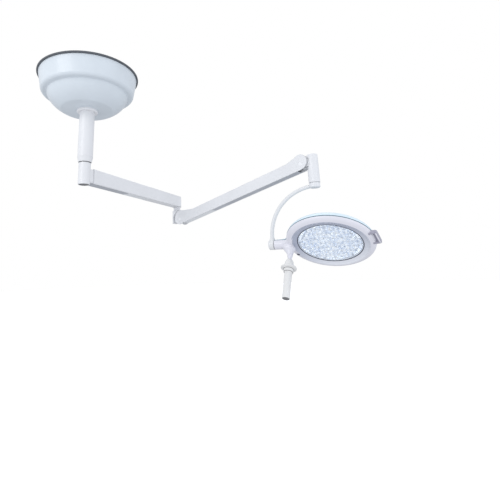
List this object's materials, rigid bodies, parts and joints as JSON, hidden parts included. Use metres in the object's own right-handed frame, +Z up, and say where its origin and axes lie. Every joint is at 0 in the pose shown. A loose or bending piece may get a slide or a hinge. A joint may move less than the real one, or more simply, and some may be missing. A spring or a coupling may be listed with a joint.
{
  "type": "surgical light",
  "caption": "Ceiling-mounted surgical light: canopy and down tube, swivelling extension arm, balanced spring arm, bent yoke tube and round LED head with a sterile grip.",
  "frame": {"origin": "centre of the ceiling plate's top face, which is the centre of the ceiling bolt circle", "axes": "+Z up into the ceiling, +X along the extension arm at rest"},
  "size_m": [0.9699, 1.232, 0.9191],
  "materials": {
    "plate_steel": "zinc-flake steel plate",
    "zinc_steel": "bright zinc",
    "turned_steel": "turned and ground",
    "spring_steel": "oiled spring steel",
    "dark_screw": "blackened",
    "bronze": "plain bearing bronze",
    "arm_paint": "satin powder coat, pale grey-white",
    "yoke_paint": "satin powder coat, warm pale grey",
    "canopy_paint": "satin moulded shell, pale blue-grey",
    "canopy_seal": "matt edge seal, dark grey",
    "dark_seal": "matt",
    "white_plastic": "satin white",
    "supply_case": "anodised dark grey",
    "terminal_plastic": "ivory",
    "cap_dark": "fine grained, dark grey",
    "cover_dark": "fine grained, slate grey",
    "cover_light": "fine grained, off-white",
    "head_plastic": "satin moulding, faint lilac white",
    "cover_blue": "satin moulding, very pale blue",
    "gasket_teal": "soft seal, teal",
    "cast_aluminium": "fine cast and milled",
    "bezel_plastic": "satin, blue-grey",
    "clear_glass": "clear safety glass",
    "lens_optic": "clear moulded optics over cool white LEDs",
    "board_white": "white solder mask",
    "button_dark": "soft dark key",
    "grip_plastic": "autoclavable, warm light grey"
  },
  "bodies": {
    "ceiling_mount": {"ceiling_plate": "plate_steel", "levelling_studs": "zinc_steel", "levelling_nuts": "zinc_steel", "tube_flange": "plate_steel", "down_tube": "arm_paint", "spindle_housing": "arm_paint", "tube_bushes": "bronze", "tube_brake_screws": "dark_screw", "thrust_washer": "dark_seal", "canopy": "canopy_paint", "canopy_rim": "canopy_seal", "canopy_collar": "white_plastic", "collar_screw": "dark_screw", "power_supply": "supply_case", "terminal_block": "terminal_plastic"},
    "extension_arm": {"arm_spindle": "turned_steel", "spindle_ring": "dark_screw", "arm_hub": "arm_paint", "hub_cap": "cap_dark", "arm_profile": "arm_paint", "cable_cover": "cover_dark", "cover_strip": "cover_light", "arm_end_housing": "arm_paint", "arm_end_cap": "white_plastic", "swivel_bushes": "bronze"},
    "spring_knuckle": {"rear_knuckle": "arm_paint", "swivel_spindle": "arm_paint", "swivel_ring": "dark_screw", "rear_pivot_pin": "turned_steel"},
    "spring_arm": {"spring_arm_casing": "arm_paint", "rear_bottom_cover": "cover_light", "front_bottom_cover": "cover_dark", "compression_spring": "spring_steel", "spring_rod": "turned_steel", "adjusting_nut": "zinc_steel", "pivot_plugs": "white_plastic"},
    "parallel_bar": {"levelling_rod": "zinc_steel"},
    "level_knuckle": {"front_knuckle": "arm_paint", "front_pivot_pin": "turned_steel", "yoke_bush": "bronze"},
    "yoke": {"yoke_hub": "arm_paint", "yoke_ring": "dark_screw", "yoke_bow": "yoke_paint", "tilt_knuckle": "yoke_paint", "tilt_cap": "white_plastic", "tilt_bush": "bronze"},
    "lamp_head": {"head_housing": "head_plastic", "head_cover": "cover_blue", "seam_gasket": "gasket_teal", "neck_casting": "cast_aluminium", "bezel_ring": "bezel_plastic", "glass_pane": "clear_glass", "lens_array": "lens_optic", "led_board": "board_white", "heat_sink": "cast_aluminium", "rail_handle": "head_plastic", "handle_holder": "head_plastic"},
    "button": {"power_button": "button_dark"},
    "focus_handle": {"sterile_grip": "grip_plastic", "grip_end_cap": "cap_dark"}
  },
  "joints": [
    {"name": "arm_swivel", "type": "hinge", "parent": "ceiling_mount", "child": "extension_arm", "pos_m": [0, 0, -0.372], "axis": [0, 0, 1], "range_deg": [-165, 165]},
    {"name": "spring_arm_swivel", "type": "hinge", "parent": "extension_arm", "child": "spring_knuckle", "pos_m": [0.74, 0, -0.456], "axis": [0, 0, 1], "range_deg": [-40, 259]},
    {"name": "spring_arm_tilt", "type": "hinge", "parent": "spring_knuckle", "child": "spring_arm", "pos_m": [0.72315, -0.04707, -0.531], "axis": [-0.9415, 0.3371, 0], "range_deg": [-56, 24]},
    {"name": "front_levelling", "type": "hinge", "parent": "spring_arm", "child": "level_knuckle", "pos_m": [0.46504, -0.76793, -0.38217], "axis": [-0.9415, 0.3371, 0], "range_deg": [-24, 56]},
    {"name": "parallel_bar_pivot", "type": "hinge", "parent": "spring_knuckle", "child": "parallel_bar", "pos_m": [0.72315, -0.04707, -0.545], "axis": [-0.9415, 0.3371, 0], "range_deg": [-56, 24]},
    {"name": "yoke_swivel", "type": "hinge", "parent": "level_knuckle", "child": "yoke", "pos_m": [0.44987, -0.81029, -0.46817], "axis": [0, 0, 1], "range_deg": [-165, 165]},
    {"name": "head_tilt", "type": "hinge", "parent": "yoke", "child": "lamp_head", "pos_m": [0.46314, -0.61575, -0.70817], "axis": [0.068, 0.9977, 0], "range_deg": [-132, 68]},
    {"name": "focus_turn", "type": "hinge", "parent": "lamp_head", "child": "focus_handle", "pos_m": [0.41818, -0.69086, -0.77177], "axis": [0.5287, -0.036, 0.848], "range_deg": [-60, 60]},
    {"name": "button_press", "type": "slide", "parent": "lamp_head", "child": "button", "axis": [0.5287, -0.036, 0.848], "range_m": [0, 0.0012], "stiffness_N_per_m": 300}
  ],
  "couplings": [
    {"joint": "front_levelling", "follows": "spring_arm_tilt", "ratio": -1},
    {"joint": "parallel_bar_pivot", "follows": "spring_arm_tilt", "ratio": 1}
  ]
}
